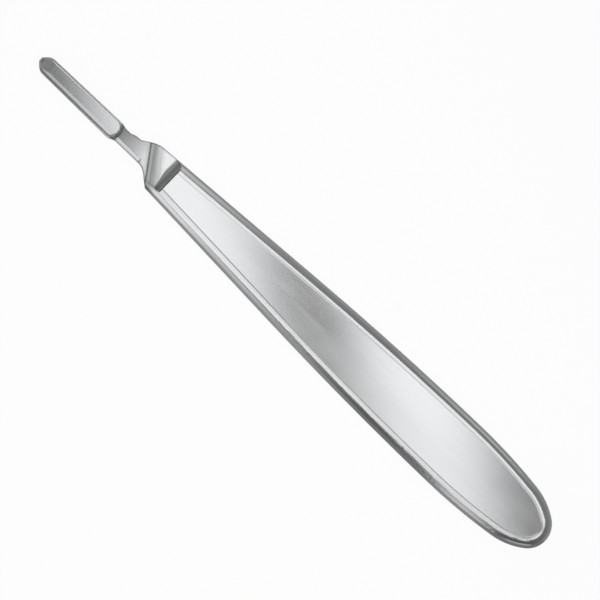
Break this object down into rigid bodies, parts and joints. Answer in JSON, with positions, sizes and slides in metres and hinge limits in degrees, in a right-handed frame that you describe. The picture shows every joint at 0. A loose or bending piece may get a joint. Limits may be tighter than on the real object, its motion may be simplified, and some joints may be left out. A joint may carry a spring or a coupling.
{
  "type": "scalpel handle",
  "caption": "Flat one-piece steel scalpel handle with a bevelled border, a slim neck and a grooved key that takes a detachable blade.",
  "frame": {"origin": "middle of the handle's length and width, on the back face that it lies on", "axes": "+X from the blade fitting to the heel, +Y toward the blade's spine, +Z out of the face that carries the fitting"},
  "size_m": [0.125, 0.0138, 0.0032],
  "materials": {
    "satin_steel": "satin"
  },
  "bodies": {
    "root": {"handle": "satin_steel"}
  },
  "joints": []
}
